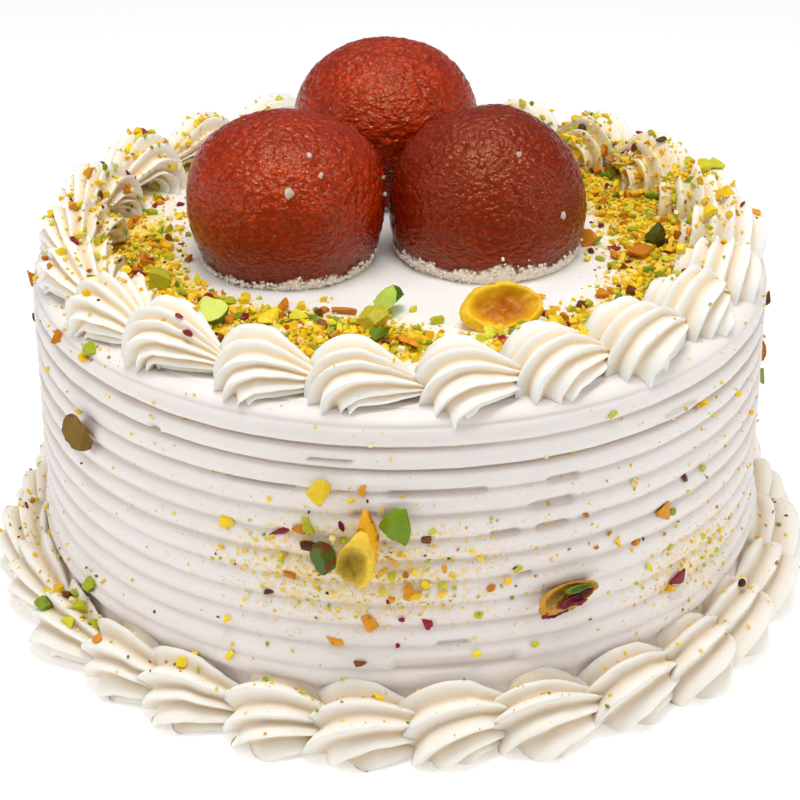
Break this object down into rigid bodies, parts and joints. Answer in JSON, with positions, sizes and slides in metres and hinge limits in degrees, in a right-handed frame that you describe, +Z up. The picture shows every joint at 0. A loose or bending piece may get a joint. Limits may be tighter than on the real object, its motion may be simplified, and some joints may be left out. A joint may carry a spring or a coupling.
{
  "type": "gulab jamun cake",
  "caption": "Round whipped cream cake with a combed side, piped shell borders round its top and foot, gulab jamuns in the middle of the top, and chopped pistachio.",
  "frame": {"origin": "centre of the cake's flat underside, where it rests on a plate or board", "axes": "+Z up; the front, with two of the gulab jamuns side by side, faces -Y; +X to the right"},
  "size_m": [0.1958, 0.1958, 0.1155],
  "materials": {
    "cream": "whipped cream, soft and matt with a slight sheen",
    "jamun": "fried milk dough soaked in syrup, grainy and glossy",
    "pistachio_kernel": "dry nut kernel, yellow",
    "pistachio_green": "dry nut kernel, green",
    "pistachio_skin": "thin purple-brown nut skin"
  },
  "bodies": {
    "root": {"cake": "cream", "top_border": "cream", "foot_border": "cream", "jamun_left": "jamun", "jamun_right": "jamun", "jamun_back": "jamun", "kernel_front": "pistachio_kernel", "chunk_front": "pistachio_green", "chunk_edge": "pistachio_green", "sliver_left": "pistachio_green", "chunk_left": "pistachio_green", "chunk_right": "pistachio_green", "side_left": "pistachio_skin", "side_cube": "pistachio_kernel", "side_dark": "pistachio_green", "side_kernel": "pistachio_kernel", "side_flake": "pistachio_green", "side_half": "pistachio_skin"}
  },
  "joints": []
}
